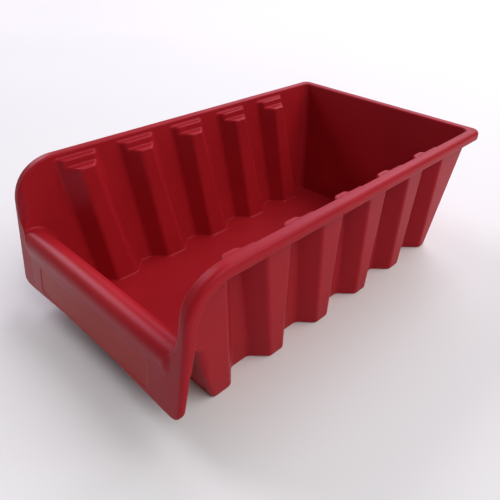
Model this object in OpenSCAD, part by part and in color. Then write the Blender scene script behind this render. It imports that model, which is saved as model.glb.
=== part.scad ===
// Open-fronted stacking trough: a one-piece plastic moulding, given as its walls, ribs, ledges,
// rim, flanges, roll and apron. X is the width, Y the length with the scoop front at -Y, Z up.
// The origin is under the middle of the whole part, on the surface that it stands on.

/* [Overall size] */
// Width over the rim
overall_w = 205; // [180:1:260]
// Length from the rear rim to the foot of the apron
overall_l = 315.4; // [300:0.2:360]
// Height from the base to the top of the rim
overall_h = 105; // [95:1:150]
// Thickness of the moulded wall
wall_t = 2.5; // [2:0.1:3]

/* [Rim] */
// Width of the flat rim, measured out from the inside of the wall
rim_w = 8.6; // [7:0.1:11]
// Depth of the lip that hangs from the outer edge of the rim
lip_d = 7.4; // [5:0.1:9]
// Radius of the two rear corners of the rim
rim_corner_r = 8; // [4:0.5:10]
// Lean of the outer face of the lip, in degrees
lip_lean = 1.5; // [1:0.5:6]

/* [Walls] */
// Lean of the side walls, in degrees
side_lean = 6.6; // [3:0.1:8]
// Lean of the rear wall, in degrees
rear_lean = 14; // [5:0.5:16]
// Lean of the front wall, in degrees
front_lean = 9.5; // [5:0.5:12]

/* [Ribs] */
// Number of ribs on each side
rib_count = 5; // [3:1:5]
// Distance from one rib to the next
rib_pitch = 47.25; // [45:0.25:49]
// Distance from the rear edge of the rim to the middle of the last rib
rear_rib_y = 62.6; // [60:0.1:66]
// Depth of a rib at the base
rib_depth_base = 12.4; // [9:0.1:14]
// Depth of a rib at the height of the rim
rib_depth_top = 14.5; // [12:0.1:16]
// Width of a rib where it leaves the wall, at the base
rib_root_base = 37.6; // [34:0.1:40]
// Width of a rib where it leaves the wall, at the height of the rim
rib_root_top = 30; // [27:0.1:32]
// Width of the flat crest of a rib at the base
rib_crest_base = 16.8; // [14:0.1:18]
// Width of the flat crest of a rib at the height of the rim
rib_crest_top = 9.6; // [8:0.1:12]

/* [Stacking ledges] */
// Drop from the rim to the upper ledge
upper_ledge_drop = 4.2; // [3:0.1:5]
// Drop from the rim to the lower ledge
lower_ledge_drop = 9.2; // [8:0.1:12]
// Depth of the upper ledge, out from the wall
upper_ledge_d = 5.6; // [4:0.1:7]

/* [Front] */
// Outside radius of the front roll
roll_r = 9.6; // [8:0.1:11]
// Height of the middle of the front roll
roll_z = 51.3; // [46:0.1:56]
// Distance from the middle of the roll to the foot of the apron, along Y
roll_setback = 16.6; // [16.2:0.1:17.5]
// Lean of the apron and of the flange fronts, in degrees
apron_lean = 15.1; // [14:0.1:16]
// Height of the foot of the apron and flanges above the base
apron_z = 19; // [16:0.5:24]
// Rise of the apron's lower edge between the flanges
apron_arch = 3; // [0.5:0.1:4]
// Radius of the sweep from the rim down into the front flanges
sweep_r = 35; // [28:1:38]
// Radius of the apron's two lower corners
apron_corner_r = 9; // [8:1:14]
// Thickness of the flanges' edge at the foot of the apron
flange_foot_d = 3.2; // [2.5:0.1:7]
// Depth of the moulded label recess in the apron
label_d = 0.6; // [0.4:0.1:1]
// Length of the label recess
label_l = 138; // [100:1:140]
// Height of the label recess, up the slope of the apron
label_h = 22; // [16:0.5:23]

/* [Hidden] */
$fn = 96;
red = [0.60, 0.10, 0.15];
far = 2 * overall_l;            // longer than anything that it cuts
lap = 1;                        // how far a cutter runs past the face that it cuts
rear_y = overall_l / 2;
foot_y = -overall_l / 2;
lower_ledge_z = overall_h - lower_ledge_drop;
upper_ledge_z = overall_h - upper_ledge_drop;
label_corner_r = 5;
label_margin = 4;               // from the foot of the apron up to the label recess
roll_y = foot_y + roll_setback;

// Outside half-width of the rim and flanges at height z
function rim_x(z) = overall_w / 2 - (overall_h - z) * tan(lip_lean);
// Inside half-width of the tub at height z, and the same at the crest of a rib
function wall_x(z) = overall_w / 2 - rim_w - (overall_h - z) * tan(side_lean);
function crest_x(z) = wall_x(z) - along(rib_depth_base, rib_depth_top, z);
// Value at height z of something that runs evenly from the base to the rim
function along(base, top, z) = base + (top - base) * z / overall_h;
// Inside faces of the rear and front walls, and outside face of the apron, at height z
function rear_wall_y(z) = rear_y - rim_w - (overall_h - z) * tan(rear_lean);
function front_wall_y(z) = roll_y + roll_r + (roll_z - z) * tan(front_lean);
function apron_y(z) = foot_y + (z - apron_z) * tan(apron_lean);
// Slope of a rib's flank in plan, and half the rib's width at x, both at height z
function flank(z) = (along(rib_root_base, rib_root_top, z) - along(rib_crest_base, rib_crest_top, z))
    / 2 / (wall_x(z) - crest_x(z));
function rib_half(x, z) = along(rib_crest_base, rib_crest_top, z) / 2 + flank(z) * (x - crest_x(z));
// Plan of a rib at height z, from the outside of the wall in to x_in, narrowed by side all round
function rib_plan(x_out, x_in, side, z) = [
    [x_out, side - rib_half(x_out, z)], [x_out, rib_half(x_out, z) - side],
    [x_in, rib_half(x_in, z) - side], [x_in, side - rib_half(x_in, z)]];
function rib_body(x_in, z) = rib_plan(wall_x(z) + wall_t + lap, x_in, 0, z);
function rib_groove(x_in, z) =
    rib_plan(wall_x(z) + wall_t + lap, x_in + wall_t, wall_t * sqrt(1 + pow(flank(z), 2)), z);
function riser_x(z) = wall_x(z) - upper_ledge_d;
function rib_y(i) = rear_y - rear_rib_y - i * rib_pitch;

// Solid between two plans with the same number of points, which run anticlockwise
module loft(low, z0, high, z1) {
    n = len(low);
    polyhedron(
        points = concat([for (p = low) [p.x, p.y, z0]], [for (p = high) [p.x, p.y, z1]]),
        faces = concat([[for (i = [0:n - 1]) i]], [[for (i = [n - 1:-1:0]) n + i]],
            [for (i = [0:n - 1]) [i, n + i, (i + 1) % n]],
            [for (i = [0:n - 1]) [(i + 1) % n, n + i, n + (i + 1) % n]]));
}

// A side-view outline, drawn as (y, z), run right across the width
module across() {
    rotate([90, 0, 90]) linear_extrude(far, center = true) children();
}

// A front-view outline, drawn as (x, z), run right along the length
module lengthwise() {
    rotate([90, 0, 0]) linear_extrude(far, center = true) children();
}

// Everything within half-width x0 at the base and x1 at the height of the rim
module within(x0, x1) {
    lengthwise() polygon([[-x0, 0], [x0, 0], [x1, overall_h], [-x1, overall_h]]);
}

// Everything within the inside of the side walls, or within their outside if extra is wall_t
module within_walls(extra = 0) { within(wall_x(0) + extra, wall_x(overall_h) + extra); }

// Side view of everything under the rim's top and behind the flange fronts, set in by d, or by
// foot_d at the foot
module side_outline(d, z_low, foot_d) {
    c = [apron_y(overall_h - sweep_r) + sweep_r / cos(apron_lean), overall_h - sweep_r];
    r = sweep_r - d;
    bottom = apron_y(z_low) + foot_d / cos(apron_lean);
    polygon(concat(
        [[rear_y + lap, overall_h - d], [rear_y + lap, z_low], [bottom, z_low]],
        [for (a = [180 - apron_lean:-(90 - apron_lean) / 12:90]) c + r * [cos(a), sin(a)]]));
}

// Y at which the level rim starts to sweep down
sweep_y = apron_y(overall_h - sweep_r) + sweep_r / cos(apron_lean);

// Plan of the rim, set in by d, with its rear corners rounded
module rim_plan(d) {
    r = rim_corner_r - d;
    w = overall_w / 2 - d;
    translate([-w, -far]) square([2 * w, far + rear_y - d - r]);
    translate([r - w, 0]) square([2 * (w - r), rear_y - d]);
    for (x = [r - w, w - r]) translate([x, rear_y - d - r]) circle(r);
}

// All of the rim and flanges: the flat band and, at its outer edge, the lip
module rim_and_flanges() {
    difference() {
        intersection() {
            linear_extrude(overall_h) rim_plan(0);
            within(rim_x(0), rim_x(overall_h));
            across() side_outline(0, apron_z, 0);
        }
        within_walls_to_rear();
        intersection() {
            linear_extrude(overall_h) rim_plan(wall_t);
            within(rim_x(0) - wall_t, rim_x(overall_h) - wall_t);
            across() side_outline(wall_t, apron_z - lap, wall_t);
        }
        across() side_outline(lip_d, apron_z - lap, flange_foot_d);
    }
}

// The tub's own outside, which the rim stands around
module within_walls_to_rear() {
    intersection() {
        within_walls(wall_t);
        across() polygon([[-far, -lap], [rear_wall_y(-lap) + wall_t, -lap],
            [rear_wall_y(overall_h + lap) + wall_t, overall_h + lap], [-far, overall_h + lap]]);
    }
}

// Front view of the apron and flanges, with the two lower corners rounded and a low arch between
module front_outline() {
    r = apron_corner_r;
    x = rim_x(apron_z + r) - r;
    lengthwise() translate([0, apron_z]) difference() {
        union() {
            translate([-far / 2, r]) square([far, far]);
            translate([-x, 0]) square([2 * x, r]);
            for (s = [-1, 1]) translate([s * x, r]) circle(r);
        }
        scale([x, apron_arch]) circle(1);
    }
}

// The five ribs of the right side as solid blocks, up to height z1
module rib_blocks(z1) {
    for (i = [0:rib_count - 1])
        translate([0, rib_y(i), 0]) loft(rib_body(crest_x(0), 0), 0, rib_body(crest_x(z1), z1), z1);
}

// The hollows outside the five ribs of the right side
module rib_grooves(z1) {
    for (i = [0:rib_count - 1])
        translate([0, rib_y(i), 0])
            loft(rib_groove(crest_x(-lap), -lap), -lap, rib_groove(crest_x(z1), z1), z1);
}

// The tub's floor, notched where the ribs run down its sides
module floor_panel() {
    color(red) difference() {
        intersection() {
            within_walls(wall_t);
            across() polygon([[front_wall_y(0) - wall_t, 0], [rear_wall_y(0) + wall_t, 0],
                [rear_wall_y(wall_t) + wall_t, wall_t], [front_wall_y(wall_t) - wall_t, wall_t]]);
        }
        for (s = [0, 1]) mirror([s, 0, 0]) rib_grooves(lower_ledge_z);
    }
}

module back_wall() {
    color(red) intersection() {
        within_walls(wall_t);
        across() polygon([[rear_wall_y(wall_t), wall_t], [rear_wall_y(wall_t) + wall_t, wall_t],
            [rear_wall_y(overall_h) + wall_t, overall_h], [rear_wall_y(overall_h), overall_h]]);
    }
}

module front_wall() {
    color(red) intersection() {
        within_walls(wall_t);
        across() polygon([[front_wall_y(wall_t), wall_t], [front_wall_y(wall_t) - wall_t, wall_t],
            [front_wall_y(roll_z) - wall_t, roll_z], [front_wall_y(roll_z), roll_z]]);
    }
}

// The part of the side view that the roll turns in, from level at the back, over the top and
// down to the crease where it meets the apron
module roll_sector() {
    crease = acos((roll_y - apron_y(roll_z)) * cos(apron_lean) / roll_r) - apron_lean;
    translate([roll_y, roll_z])
        polygon([[0, 0], [far, 0], [far, far], [-far, far], -far * [cos(crease), sin(crease)]]);
}

module front_roll() {
    color(red) intersection() {
        within_walls();
        across() intersection() {
            roll_sector();
            translate([roll_y, roll_z]) difference() {
                circle(roll_r);
                circle(roll_r - wall_t);
            }
        }
    }
}

// The flat panel in front of the roll, with its label recess
module front_apron() {
    color(red) difference() {
        intersection() {
            within_walls(wall_t);
            front_outline();
            across() difference() {
                polygon([[apron_y(apron_z), apron_z], [apron_y(apron_z) + wall_t, apron_z],
                    [apron_y(roll_z) + wall_t, roll_z], [apron_y(roll_z), roll_z]]);
                roll_sector();
            }
        }
        label_recess();
    }
}

// A field with round corners between the roll and the foot of the apron
module label_recess() {
    x = label_l / 2 - label_corner_r;
    y = label_h / 2 - label_corner_r;
    translate([0, apron_y(apron_z), apron_z]) rotate([90 - apron_lean, 0, 0])
        translate([0, label_h / 2 + label_margin, -label_d]) linear_extrude(lap + label_d) {
            square([label_l, 2 * y], center = true);
            square([2 * x, label_h], center = true);
            for (p = [[x, y], [-x, y], [-x, -y], [x, -y]]) translate(p) circle(label_corner_r);
        }
}

// Right side wall between and beyond the ribs, run on forward to the flange
module wall_panels() {
    difference() {
        intersection() {
            within_walls(wall_t);
            translate([0, -far / 2, 0]) cube([far, far, overall_h]);
            across() difference() {
                side_outline(0, wall_t, 0);
                polygon([[rear_wall_y(0), 0], [rear_wall_y(overall_h + lap), overall_h + lap],
                    [rear_y + 2 * lap, overall_h + lap], [rear_y + 2 * lap, 0]]);
                polygon([[front_wall_y(0), 0], [front_wall_y(roll_z), roll_z],
                    [-far, roll_z], [-far, 0]]);
                translate([roll_y, roll_z]) circle(roll_r - wall_t);
            }
        }
        within_walls();
        rib_blocks(upper_ledge_z);
    }
}

// The five channel-shaped ribs of the right side, from the floor to the lower ledge
module wall_ribs() {
    top = lower_ledge_z - wall_t;
    difference() {
        intersection() {
            rib_blocks(lower_ledge_z);
            within_walls(wall_t);
            translate([0, -far / 2, wall_t]) cube([far, far, top - wall_t]);
        }
        rib_grooves(lower_ledge_z);
    }
}

// The two-step caps that close the ribs of the right side
module stacking_ledges() {
    z0 = lower_ledge_z - wall_t;
    z1 = upper_ledge_z - wall_t;
    z2 = lower_ledge_z;
    z3 = upper_ledge_z;
    for (i = [0:rib_count - 1]) translate([0, rib_y(i), 0]) difference() {
        intersection() {
            union() {
                loft(rib_body(crest_x(z0), z0), z0, rib_body(crest_x(z2), z2), z2);
                loft(rib_body(riser_x(z0), z0), z0, rib_body(riser_x(z3), z3), z3);
            }
            within_walls(wall_t);
        }
        loft(rib_groove(riser_x(z0 - lap), z0 - lap), z0 - lap, rib_groove(riser_x(z1), z1), z1);
    }
}

// The part of the rim and flanges in a box, for the right side
module rim_part(y0, y1) {
    intersection() {
        rim_and_flanges();
        translate([0, y0, 0]) cube([far, y1 - y0, overall_h]);
    }
}

module side_rim() { rim_part(sweep_y, rear_y - rim_w); }

module rear_rim() {
    color(red) intersection() {
        rim_and_flanges();
        translate([-far / 2, rear_y - rim_w, 0]) cube([far, far, overall_h]);
    }
}

// The rim swept down the front of the side wall to the foot of the apron
module front_flange() {
    intersection() {
        rim_part(foot_y - lap, sweep_y);
        front_outline();
    }
}

module left_wall_panels() { color(red) mirror([1, 0, 0]) wall_panels(); }
module right_wall_panels() { color(red) wall_panels(); }
module left_wall_ribs() { color(red) mirror([1, 0, 0]) wall_ribs(); }
module right_wall_ribs() { color(red) wall_ribs(); }
module left_stacking_ledges() { color(red) mirror([1, 0, 0]) stacking_ledges(); }
module right_stacking_ledges() { color(red) stacking_ledges(); }
module left_rim() { color(red) mirror([1, 0, 0]) side_rim(); }
module right_rim() { color(red) side_rim(); }
module left_front_flange() { color(red) mirror([1, 0, 0]) front_flange(); }
module right_front_flange() { color(red) front_flange(); }

floor_panel();
back_wall();
front_wall();
front_roll();
front_apron();
left_wall_panels();
right_wall_panels();
left_wall_ribs();
right_wall_ribs();
left_stacking_ledges();
right_stacking_ledges();
left_rim();
right_rim();
rear_rim();
left_front_flange();
right_front_flange();
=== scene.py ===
"""The trough as one seamless plastic moulding, with its rounded edges, on the CAD frame.

The shape is a distance field in millimetres. plastic() gives it: the sheet of the tub and the rim's
band, within an outer shell, less the space inside the tub. The field is meshed on a grid, thinned
where it is flat, and set exactly on the surface again.
"""

import math

import bpy
import numpy as np
from mathutils import Matrix, Vector


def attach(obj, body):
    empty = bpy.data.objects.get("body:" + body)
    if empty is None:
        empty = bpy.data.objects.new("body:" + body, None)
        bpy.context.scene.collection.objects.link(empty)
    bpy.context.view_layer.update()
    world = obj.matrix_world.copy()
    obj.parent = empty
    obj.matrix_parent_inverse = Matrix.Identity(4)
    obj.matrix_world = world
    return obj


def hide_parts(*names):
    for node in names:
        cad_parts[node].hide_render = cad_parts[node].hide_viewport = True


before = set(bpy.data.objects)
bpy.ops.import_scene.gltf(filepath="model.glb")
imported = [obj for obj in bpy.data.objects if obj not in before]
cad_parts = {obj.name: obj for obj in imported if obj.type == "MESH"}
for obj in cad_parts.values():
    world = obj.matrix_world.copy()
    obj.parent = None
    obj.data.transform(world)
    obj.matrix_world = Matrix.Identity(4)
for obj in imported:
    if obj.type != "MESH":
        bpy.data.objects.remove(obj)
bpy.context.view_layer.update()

# ---------------------------------------------------------------- sizes, in mm, as in the CAD part
WIDTH, LENGTH, HEIGHT = 205.0, 315.4, 105.0
WALL = 2.5
RIM, LIP, LIP_FOOT, RIM_CORNER, LIP_LEAN = 8.6, 7.4, 3.2, 8.0, 1.5
SIDE_LEAN, REAR_LEAN, FRONT_LEAN, APRON_LEAN = 6.6, 14.0, 9.5, 15.1
RIBS, PITCH, REAR_RIB = 5, 47.25, 62.6
DEPTH, ROOT, CREST = (12.4, 14.5), (37.6, 30.0), (16.8, 9.6)  # at the base and at the rim
UPPER_DROP, LOWER_DROP, UPPER_DEPTH = 4.2, 9.2, 5.6
ROLL_R, ROLL_Z, ROLL_SETBACK = 9.6, 51.3, 16.6
APRON_Z, APRON_ARCH, APRON_CORNER, SWEEP_R = 19.0, 3.0, 9.0, 35.0
LABEL_L, LABEL_H, LABEL_MARGIN, LABEL_CORNER, LABEL_D = 138.0, 22.0, 4.0, 5.0, 0.4

ARCH_TOP, ARCH_FOOT = 20.0, 92.0  # half-widths between which the arch comes down
WIDENING = (18.0, 44.0)  # heights between which the tub's front corners widen outside
SWEEP = (8.0, 28.0)  # depths below the rim between which the rim's radii become the flange's
LIP_GROWTH = 57.0  # height over which the flanges' lip grows to its full depth
FAR = 50.0  # a distance at which a face has no effect

REAR_Y, FOOT_Y = LENGTH / 2, -LENGTH / 2
ROLL_Y = FOOT_Y + ROLL_SETBACK
UPPER_Z, LOWER_Z = HEIGHT - UPPER_DROP, HEIGHT - LOWER_DROP

# ---------------------------------------------------------------- radii of the moulding, in mm
TUB_CORNER, TUB_CORNER_OUT = 6.0, 7.5  # vertical corners at the rear
FRONT_CORNER = 4.0  # inside, between the front wall and the side walls
FLOOR_FILLET, BASE_EDGE = 1.2, 2.0
FOOT_CORNER, UNDER_ROLL_CORNER, ROLL_END_CORNER = 2.5, 7.0, 1.2  # outside, from the foot upward
RIB_ROOT_FILLET, RIB_CREST_EDGE, GROOVE_EDGE = 1.6, 1.5, 1.4
LOWER_STEP_EDGE, UPPER_STEP_EDGE, STEP_FILLET = 1.1, 0.9, 0.6
ROLL_FILLET = 1.8  # where the roll meets the side walls
APRON_FILLET = 2.5  # where the roll meets the apron
BULGE_END, BULGE_FILLET = 3.0, 2.5  # where the roll stands out in front of the flanges
RIM_EDGE, RIM_INNER_EDGE, FLANGE_INNER_EDGE = 3.6, 1.2, 6.5
UNDER_RIM, LIP_EDGE = 1.2, 1.0
RIM_ROOT, FLANGE_ROOT = 1.5, 3.5  # outside, between the wall and the band
APRON_EDGE, SHEET_EDGE, SKIN_EDGE = 1.4, 0.9, 0.3
LABEL_RAMP = 2.0  # width of the slope round the label recess


def rad(degrees):
    return math.radians(degrees)


def both(a, b, r):
    """What is inside a and b, with the edge between them rounded to radius r."""
    inner = np.minimum(np.maximum(a, b), -r)
    return inner + np.hypot(np.maximum(a + r, 0), np.maximum(b + r, 0))


def either(a, b, r):
    """What is inside a or b, with a fillet of radius r between them."""
    return -both(-a, -b, r)


def blend(value, low, high):
    """0 below low, 1 above high, and smooth between."""
    t = np.clip((value - low) / (high - low), 0, 1)
    return t * t * (3 - 2 * t)


def along(pair, z):
    """A rib's size at height z, from its sizes at the base and at the rim."""
    return pair[0] + (pair[1] - pair[0]) * z / HEIGHT


def profile(y, z):
    """Side view: the flange fronts, the sweep and the rim's top, and the flange fronts' plane."""
    front = ((FOOT_Y + (z - APRON_Z) * math.tan(rad(APRON_LEAN))) - y) * math.cos(rad(APRON_LEAN))
    cz = HEIGHT - SWEEP_R
    cy = FOOT_Y + (cz - APRON_Z) * math.tan(rad(APRON_LEAN)) + SWEEP_R / math.cos(rad(APRON_LEAN))
    vy, vz = y - cy, z - cz
    turning = (vy < 0) & (vy * math.sin(rad(APRON_LEAN)) + vz * math.cos(rad(APRON_LEAN)) > 0)
    flat = np.maximum(front, z - HEIGHT)
    return np.where(turning, np.hypot(vy, vz) - SWEEP_R, flat), front


def hook(y, z, front, drop):
    """Side view: the roll with everything below it between the front wall and the apron.

    What is below the roll starts where the front wall is tangent to it, or higher by drop.
    """
    disc = np.hypot(y - ROLL_Y, z - ROLL_Z) - ROLL_R
    wall = (y - ROLL_Y) * math.cos(rad(FRONT_LEAN)) + (z - ROLL_Z) * math.sin(rad(FRONT_LEAN))
    cap = (z - ROLL_Z) * math.cos(rad(FRONT_LEAN)) - (y - ROLL_Y) * math.sin(rad(FRONT_LEAN))
    wedge = np.maximum(np.maximum(wall - ROLL_R, front), cap - drop)
    in_front = either(disc, wedge, APRON_FILLET)
    return np.where(y < ROLL_Y, in_front, np.minimum(disc, wedge)), disc


def rib(ax, y, z, grow):
    """The ribs as solid blocks with two steps at the top, pulled in by grow."""
    k = np.clip(np.round((REAR_Y - REAR_RIB - y) / PITCH), 0, RIBS - 1)
    off = np.abs(y - (REAR_Y - REAR_RIB - k * PITCH))
    wall_x = WIDTH / 2 - RIM - (HEIGHT - z) * math.tan(rad(SIDE_LEAN))
    depth = along(DEPTH, z)
    crest_x = wall_x - depth
    slope = (along(ROOT, z) - along(CREST, z)) / 2 / depth
    flank = (off - along(CREST, z) / 2 - slope * (ax - crest_x)) / np.sqrt(1 + slope * slope) + grow
    lower = both(crest_x - ax + grow, z - LOWER_Z + grow, LOWER_STEP_EDGE)
    upper = both(wall_x - UPPER_DEPTH - ax + grow, z - UPPER_Z + grow, UPPER_STEP_EDGE)
    return both(flank, either(lower, upper, STEP_FILLET), RIB_CREST_EDGE)


def plastic(x, y, z):
    """Distance to the surface of the moulding, below 0 inside the plastic."""
    ax = np.abs(x)
    below = HEIGHT - z
    side = (ax - (WIDTH / 2 - RIM - below * math.tan(rad(SIDE_LEAN)))) * math.cos(rad(SIDE_LEAN))
    rear = (y - (REAR_Y - RIM - below * math.tan(rad(REAR_LEAN)))) * math.cos(rad(REAR_LEAN))
    top, front = profile(y, z)
    out, disc = hook(y, z, front, 0)
    out_back, _ = hook(y, z, front, WALL)

    # The space inside the tub, below 0 in it, with its front corners wide below the roll
    rise = blend(z, ROLL_Z - 3, ROLL_Z + 4)
    fillet = np.where(y < ROLL_Y, ROLL_FILLET, FRONT_CORNER + (ROLL_FILLET - FRONT_CORNER) * rise)
    hollow = both(both(side, rear, TUB_CORNER), -out, fillet)
    hollow = both(hollow, WALL - z, FLOOR_FILLET)
    hollow = both(hollow, -rib(ax, y, z, 0), RIB_ROOT_FILLET)

    # The outer shell, with the roll's bulge in front of the flanges' plane, and the skin behind it
    lean = math.tan(rad(LIP_LEAN))
    edge_x = (ax - (WIDTH / 2 - below * lean)) * math.cos(rad(LIP_LEAN))
    edge_y = (y - (REAR_Y - below * lean)) * math.cos(rad(LIP_LEAN))
    plan = both(edge_x, edge_y, RIM_CORNER)
    bulge = both(disc, side + 0.5, BULGE_END)
    shell = both(plan, either(top, bulge, BULGE_FILLET), RIM_EDGE)
    skin = np.where(y < ROLL_Y, both(-shell - WALL, side, SKIN_EDGE), FAR)

    # The tub's outer faces, with the grooves behind the ribs and the open hollow under the roll.
    # The front corners widen up to the roll, and are tight at the roll's ends
    corner = FOOT_CORNER + (UNDER_ROLL_CORNER - FOOT_CORNER) * blend(z, *WIDENING)
    corner = corner - (UNDER_ROLL_CORNER - ROLL_END_CORNER) * blend(z, ROLL_Z - 2, ROLL_Z + 4)
    corner = np.where(y > ROLL_Y, corner, ROLL_END_CORNER)
    tub = both(both(side - WALL, rear - WALL, TUB_CORNER_OUT), -out_back - WALL, corner)
    tub = both(np.minimum(tub, skin), -z, BASE_EDGE)
    tub = both(tub, -rib(ax, y, z, WALL), GROOVE_EDGE)

    # The rim: a band under the profile and a lip that hangs from its outer edge
    lip = LIP_FOOT + (LIP - LIP_FOOT) * np.clip((z - APRON_Z) / LIP_GROWTH, 0, 1)
    under = both(plan + WALL, top + WALL, UNDER_RIM)
    band = both(-under, -top - lip, LIP_EDGE)
    band = np.maximum(band, -1 - both(side, rear, TUB_CORNER))
    sweep = np.where(y < ROLL_Y + 30, blend(below, *SWEEP), 0)
    body = either(tub, band, RIM_ROOT + (FLANGE_ROOT - RIM_ROOT) * sweep)

    # The foot of the flanges and the apron, which rises to an arch in the middle
    arch = APRON_ARCH * (1 - blend(ax, ARCH_TOP, ARCH_FOOT))
    foot = both(edge_x, APRON_Z + arch - z, APRON_CORNER)
    foot = np.where(z < ROLL_Z, foot, -FAR)
    shell = np.where(y < ROLL_Y, both(shell, foot, APRON_EDGE), shell)

    # The space inside the tub is taken away, and the edge round it rounded: widely on the flanges,
    # narrowly along the rim, and ever less towards the roll
    near_end = blend(side, -7, -2)
    inner_edge = (RIM_INNER_EDGE + (FLANGE_INNER_EDGE - RIM_INNER_EDGE) * sweep) * blend(out, -1, 9)
    inner_edge = inner_edge * np.maximum(near_end, blend(out, 0, 6))
    shell = both(shell, -hollow, np.maximum(inner_edge, 1e-3))
    solid = both(body, shell, SHEET_EDGE)

    # The label recess in the apron, with a sloping edge
    up = (z - APRON_Z) / math.cos(rad(APRON_LEAN)) - LABEL_MARGIN - LABEL_H / 2
    label = both(ax - LABEL_L / 2, np.abs(up) - LABEL_H / 2, LABEL_CORNER)
    sunk = LABEL_D * blend(-label, 0, LABEL_RAMP) * blend(-front, 0.8 * WALL, 0.3 * WALL)
    return solid + np.where(y < ROLL_Y, sunk, 0.0)


# ---------------------------------------------------------------- mesh
STEP = 1.0  # the grid's spacing, in mm
TRIANGLES = 190_000


def grid_field():
    """The field on a grid over the whole part, worked out for one half and mirrored."""
    xs = np.arange(0, WIDTH / 2 + 2.5 * STEP, STEP) + STEP / 2
    ys = np.arange(FOOT_Y - 2 * STEP, REAR_Y + 2.5 * STEP, STEP)
    zs = np.arange(-1.55 * STEP, HEIGHT + 2.5 * STEP, STEP)
    half = np.empty((len(xs), len(ys), len(zs)), np.float32)
    y, z = np.meshgrid(ys, zs, indexing="ij")
    for i, x in enumerate(xs):
        half[i] = plastic(np.full_like(y, x), y, z)
    field = np.concatenate([half[::-1], half])
    return field, np.array([-xs[-1], ys[0], zs[0]])


def surface_net(field, low):
    """One point in each cell that the surface crosses, and a quad for each edge that it crosses."""
    inside = field < 0
    n = [s - 1 for s in field.shape]
    corners = [(i, j, k) for i in (0, 1) for j in (0, 1) for k in (0, 1)]
    part = [inside[i:i + n[0], j:j + n[1], k:k + n[2]] for i, j, k in corners]
    some, every = part[0].copy(), part[0].copy()
    for p in part[1:]:
        some |= p
        every &= p
    cells = np.argwhere(some & ~every)
    number = np.full(n, -1, np.int32)
    number[tuple(cells.T)] = np.arange(len(cells))
    value = [field[tuple((cells + c).T)] for c in corners]
    total, count = np.zeros((len(cells), 3)), np.zeros(len(cells))
    for a, ca in enumerate(corners):
        for b, cb in enumerate(corners):
            if b > a and sum(abs(p - q) for p, q in zip(ca, cb)) == 1:
                cross = (value[a] < 0) != (value[b] < 0)
                t = value[a][cross] / (value[a][cross] - value[b][cross])
                total[cross] += np.array(ca) + t[:, None] * (np.array(cb) - np.array(ca))
                count[cross] += 1
    points = low + (cells + total / count[:, None]) * STEP
    quads = []
    for axis in range(3):
        u, v = (axis + 1) % 3, (axis + 2) % 3
        first = [slice(None)] * 3
        second = [slice(None)] * 3
        first[axis], second[axis] = slice(0, -1), slice(1, None)
        a, b = inside[tuple(first)], inside[tuple(second)]
        at = np.argwhere(a != b)
        at = at[(at[:, u] > 0) & (at[:, v] > 0) & (at[:, u] < n[u]) & (at[:, v] < n[v])]
        ring = []
        for du, dv in ((-1, -1), (0, -1), (0, 0), (-1, 0)):
            cell = at.copy()
            cell[:, u] += du
            cell[:, v] += dv
            ring.append(number[tuple(cell.T)])
        ring = np.stack(ring, 1)
        outward = a[tuple(at.T)]
        quads.append(np.where(outward[:, None], ring, ring[:, ::-1]))
    return points, np.concatenate(quads)


def slope_at(points, h=0.05):
    """The field at points, its slope there, which is along the surface's normal, and its size."""
    corners = np.array([(1, -1, -1), (-1, -1, 1), (-1, 1, -1), (1, 1, 1)], float)
    values = [plastic(*(points + h * c).T) for c in corners]
    slope = sum(c * v[:, None] for c, v in zip(corners, values)) / (4 * h)
    size = np.maximum(np.linalg.norm(slope, axis=1), 0.3)
    return sum(values) / 4, slope, size


def settle(points, rounds):
    """Points moved along the slope on to the surface, by less than a grid cell in each round."""
    for _ in range(rounds):
        value, slope, size = slope_at(points)
        move = np.clip(value / size, -0.6 * STEP, 0.6 * STEP)
        points = points - slope / size[:, None] * move[:, None]
    return points


def make_mesh():
    """The moulding's mesh in metres, with the surface's own normals."""
    field, low = grid_field()
    points, quads = surface_net(field, low)
    points = settle(points, 3)
    rough = bpy.data.meshes.new("rough")
    rough.vertices.add(len(points))
    rough.vertices.foreach_set("co", points.astype(np.float32).ravel())
    rough.loops.add(4 * len(quads))
    rough.loops.foreach_set("vertex_index", quads.ravel().astype(np.int32))
    rough.polygons.add(len(quads))
    rough.polygons.foreach_set("loop_start", np.arange(0, 4 * len(quads), 4, dtype=np.int32))
    rough.update(calc_edges=True)
    carrier = bpy.data.objects.new("rough", rough)
    bpy.context.scene.collection.objects.link(carrier)
    thin = carrier.modifiers.new("thin", "DECIMATE")
    thin.ratio = TRIANGLES / (2 * len(quads))
    graph = bpy.context.evaluated_depsgraph_get()
    mesh = bpy.data.meshes.new_from_object(carrier.evaluated_get(graph), depsgraph=graph)
    bpy.data.objects.remove(carrier)
    bpy.data.meshes.remove(rough)
    points = np.empty(3 * len(mesh.vertices), np.float32)
    mesh.vertices.foreach_get("co", points)
    points = settle(points.reshape(-1, 3).astype(float), 2)
    _, slope, _ = slope_at(points)
    normals = slope / np.linalg.norm(slope, axis=1)[:, None]
    mesh.vertices.foreach_set("co", (points / 1000).astype(np.float32).ravel())
    mesh.polygons.foreach_set("use_smooth", np.ones(len(mesh.polygons), bool))
    mesh.update()
    mesh.normals_split_custom_set_from_vertices(normals.astype(np.float32))
    mesh.name = "trough_moulding"
    return mesh


# ---------------------------------------------------------------- materials
DEEP_RED, LIGHT_RED = (0.345, 0.0098, 0.0150, 1), (0.390, 0.0115, 0.0175, 1)
# The label field's browner red is a painted reflection mixed into the base colour.
LABEL_REFLECTION_RED = (0.39, 0.0205, 0.0108, 1)
SHEEN = (1.0, 0.6, 0.9, 1)
PAPER = (0.79, 0.79, 0.78, 1), (0.83, 0.83, 0.82, 1)


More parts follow.
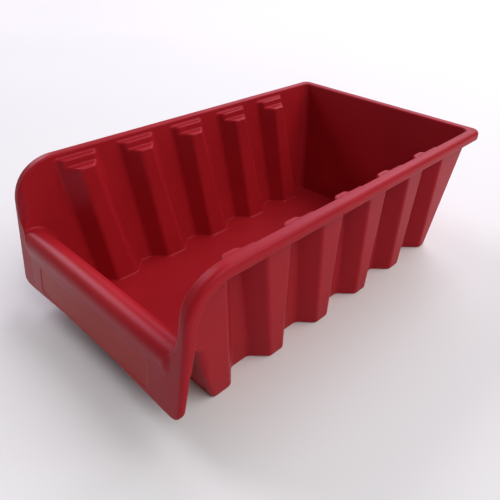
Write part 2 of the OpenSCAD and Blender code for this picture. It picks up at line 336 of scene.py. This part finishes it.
def node(tree, kind, place, **values):
    """A new node at a place in the tree, with its properties or input values set."""
    n = tree.nodes.new(kind)
    n.location = place
    for key, value in values.items():
        if hasattr(n, key):
            setattr(n, key, value)
        else:
            n.inputs[key].default_value = value
    return n


def label_reflection_mask(tree, place):
    """1 over the label field and 0 elsewhere, from the distance to a rounded oblong in x and z; it
    places the label field's painted reflection.
    """
    link = tree.links.new
    rise = LABEL_H / 2 * math.cos(rad(APRON_LEAN))
    middle = APRON_Z + LABEL_MARGIN * math.cos(rad(APRON_LEAN)) + rise
    shift = node(tree, "ShaderNodeVectorMath", (-1500, 600), operation="SUBTRACT")
    shift.inputs[1].default_value = (0, 0, middle / 1000)
    fold = node(tree, "ShaderNodeVectorMath", (-1300, 600), operation="ABSOLUTE")
    inset = node(tree, "ShaderNodeVectorMath", (-1100, 600), operation="SUBTRACT")
    inset.inputs[1].default_value = (
        (LABEL_L / 2 - LABEL_CORNER) / 1000, 1, (rise - LABEL_CORNER) / 1000)
    clip = node(tree, "ShaderNodeVectorMath", (-900, 600), operation="MAXIMUM")
    reach = node(tree, "ShaderNodeVectorMath", (-700, 600), operation="LENGTH")
    edge = node(tree, "ShaderNodeMapRange", (-500, 600))
    edge.inputs["From Min"].default_value = LABEL_CORNER / 1000
    edge.inputs["From Max"].default_value = (LABEL_CORNER - LABEL_RAMP) / 1000
    ahead = node(tree, "ShaderNodeSeparateXYZ", (-900, 800))
    behind = node(tree, "ShaderNodeMath", (-700, 800), operation="LESS_THAN")
    behind.inputs[1].default_value = (ROLL_Y - ROLL_R + 2) / 1000
    mask = node(tree, "ShaderNodeMath", (-300, 600), operation="MULTIPLY")
    link(place.outputs["Object"], shift.inputs[0])
    link(shift.outputs[0], fold.inputs[0])
    link(fold.outputs[0], inset.inputs[0])
    link(inset.outputs[0], clip.inputs[0])
    link(clip.outputs[0], reach.inputs[0])
    link(reach.outputs["Value"], edge.inputs["Value"])
    link(place.outputs["Object"], ahead.inputs[0])
    link(ahead.outputs["Y"], behind.inputs[0])
    link(edge.outputs[0], mask.inputs[0])
    link(behind.outputs[0], mask.inputs[1])
    return mask.outputs[0]


def red_plastic():
    """Dyed polypropylene: a slightly uneven red with a satin grain, with a painted reflection that
    makes the label field browner.
    """
    mat = bpy.data.materials.new("red_polypropylene")
    mat.use_nodes = True
    tree = mat.node_tree
    tree.nodes.clear()
    link = tree.links.new
    out = node(tree, "ShaderNodeOutputMaterial", (600, 0))
    shader = node(tree, "ShaderNodeBsdfPrincipled", (300, 0))
    shader.inputs["IOR"].default_value = 1.49
    shader.inputs["Specular IOR Level"].default_value = 0.17
    shader.inputs["Specular Tint"].default_value = SHEEN
    link(shader.outputs[0], out.inputs[0])
    place = node(tree, "ShaderNodeTexCoord", (-900, 0))
    cloud = node(tree, "ShaderNodeTexNoise", (-600, 200))
    cloud.inputs["Scale"].default_value = 22.0
    cloud.inputs["Detail"].default_value = 4.0
    link(place.outputs["Object"], cloud.inputs["Vector"])
    tint = node(tree, "ShaderNodeValToRGB", (-300, 200))
    tint.color_ramp.elements[0].position = 0.3
    tint.color_ramp.elements[0].color = DEEP_RED
    tint.color_ramp.elements[1].position = 0.7
    tint.color_ramp.elements[1].color = LIGHT_RED
    link(cloud.outputs["Fac"], tint.inputs["Fac"])
    # Painted reflection: the label field's base colour is mixed towards a browner red.
    painted_reflection_mix = node(tree, "ShaderNodeMix", (0, 200), data_type="RGBA")
    painted_reflection_mix.inputs[7].default_value = LABEL_REFLECTION_RED
    link(label_reflection_mask(tree, place), painted_reflection_mix.inputs[0])
    link(tint.outputs["Color"], painted_reflection_mix.inputs[6])
    link(painted_reflection_mix.outputs[2], shader.inputs["Base Color"])
    wear = node(tree, "ShaderNodeMapRange", (-300, -100))
    wear.inputs["To Min"].default_value = 0.36
    wear.inputs["To Max"].default_value = 0.44
    link(cloud.outputs["Fac"], wear.inputs["Value"])
    link(wear.outputs["Result"], shader.inputs["Roughness"])
    grain = node(tree, "ShaderNodeTexNoise", (-600, -300))
    grain.inputs["Scale"].default_value = 1400.0
    grain.inputs["Detail"].default_value = 3.0
    link(place.outputs["Object"], grain.inputs["Vector"])
    bump = node(tree, "ShaderNodeBump", (0, -300))
    bump.inputs["Strength"].default_value = 0.12
    bump.inputs["Distance"].default_value = 0.0002
    link(grain.outputs["Fac"], bump.inputs["Height"])
    link(bump.outputs["Normal"], shader.inputs["Normal"])
    return mat


# ---------------------------------------------------------------- the piece
moulding = bpy.data.objects.new("trough_moulding", make_mesh())
bpy.context.scene.collection.objects.link(moulding)
moulding.data.materials.clear()
moulding.data.materials.append(red_plastic())
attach(moulding, "root")
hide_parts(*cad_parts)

# ---------------------------------------------------------------- floor, light and camera
REACH = 6  # half the floor's width, in metres
floor_mesh = bpy.data.meshes.new("studio_floor")
floor_mesh.from_pydata(
    [(-REACH, -REACH, 0), (REACH, -REACH, 0), (REACH, REACH, 0), (-REACH, REACH, 0)], [],
    [(0, 1, 2, 3)])
floor = bpy.data.objects.new("studio_floor", floor_mesh)
bpy.context.scene.collection.objects.link(floor)
paper = bpy.data.materials.new("studio_floor")
paper.use_nodes = True
tree = paper.node_tree
shader = tree.nodes["Principled BSDF"]
shader.inputs["Roughness"].default_value = 0.9
speck = node(tree, "ShaderNodeTexNoise", (-600, 0))
speck.inputs["Scale"].default_value = 3.0
shade = node(tree, "ShaderNodeValToRGB", (-300, 0))
for stop, colour in zip(shade.color_ramp.elements, PAPER):
    stop.color = colour
place = node(tree, "ShaderNodeTexCoord", (-900, 0))
tree.links.new(place.outputs["Object"], speck.inputs["Vector"])
tree.links.new(speck.outputs["Fac"], shade.inputs["Fac"])
tree.links.new(shade.outputs["Color"], shader.inputs["Base Color"])
floor_mesh.materials.append(paper)


CENTRE = (0, 0, 0.05)


def sky(azimuth, elevation, distance):
    """A place round the part, with the azimuth anticlockwise from +x."""
    a, e = rad(azimuth), rad(elevation)
    return (distance * math.cos(a) * math.cos(e), distance * math.sin(a) * math.cos(e),
            CENTRE[2] + distance * math.sin(e))


def softbox(name, place, size, watts, colour=(1, 1, 1)):
    """A rectangular light that faces the part."""
    light = bpy.data.lights.new(name, "AREA")
    light.shape = "RECTANGLE"
    light.size, light.size_y = size
    light.energy = watts
    light.color = colour
    lamp = bpy.data.objects.new(name, light)
    lamp.location = place
    lamp.rotation_euler = (Vector(CENTRE) - Vector(place)).to_track_quat("-Z", "Y").to_euler()
    bpy.context.scene.collection.objects.link(lamp)


softbox("right", sky(24, 48, 3.5), (3.5, 2.25), 86)
softbox("back", sky(98, 48, 3.5), (2.25, 2.25), 60, (1.0, 0.97, 1.06))
softbox("rim sheen", sky(128, 31, 4.0), (2.25, 1.25), 27, (1.0, 0.85, 1.12))
softbox("roll sheen", sky(184, 37, 3.75), (1.5, 1.12), 48, (1.0, 0.95, 1.05))
softbox("front fill", sky(220, 30, 4.0), (2.5, 1.75), 3)

# The air is pale at the horizon and dim from half way up
world = bpy.data.worlds.new("studio")
bpy.context.scene.world = world
world.use_nodes = True
tree = world.node_tree
heading = node(tree, "ShaderNodeTexCoord", (-900, 0))
height = node(tree, "ShaderNodeSeparateXYZ", (-600, 0))
fade = node(tree, "ShaderNodeMapRange", (-300, 0), interpolation_type="SMOOTHSTEP")
fade.inputs["From Max"].default_value = 0.5
fade.inputs["To Min"].default_value = 0.36
fade.inputs["To Max"].default_value = 0.05
tree.links.new(heading.outputs["Generated"], height.inputs[0])
tree.links.new(height.outputs["Z"], fade.inputs["Value"])
tree.links.new(fade.outputs[0], tree.nodes["Background"].inputs["Strength"])
tree.nodes["Background"].inputs["Color"].default_value = (1, 1, 1, 1)

# The camera looks down by TILT, is turned by TURN from +y towards -x, and leans by LEAN
TURN, TILT, LEAN = rad(39.05), rad(39.60), rad(2.13)
EYE = (0.26474, -0.22061, 0.24254)
camera_data = bpy.data.cameras.new("camera")
camera_data.sensor_width = 36
camera_data.lens = 33.635
camera_data.shift_x = -0.1856
camera_data.shift_y = 0.0969
camera = bpy.data.objects.new("camera", camera_data)
forward = Vector((
    -math.sin(TURN) * math.cos(TILT), math.cos(TURN) * math.cos(TILT), -math.sin(TILT)))
right = Vector((math.cos(TURN), math.sin(TURN), 0))
up = right.cross(forward)
leaning_right = right * math.cos(LEAN) + up * math.sin(LEAN)
leaning_up = up * math.cos(LEAN) - right * math.sin(LEAN)
pose = Matrix((leaning_right, leaning_up, -forward)).transposed().to_4x4()
pose.translation = EYE
camera.matrix_world = pose
bpy.context.scene.collection.objects.link(camera)
bpy.context.scene.camera = camera
bpy.context.scene.view_settings.view_transform = "Standard"
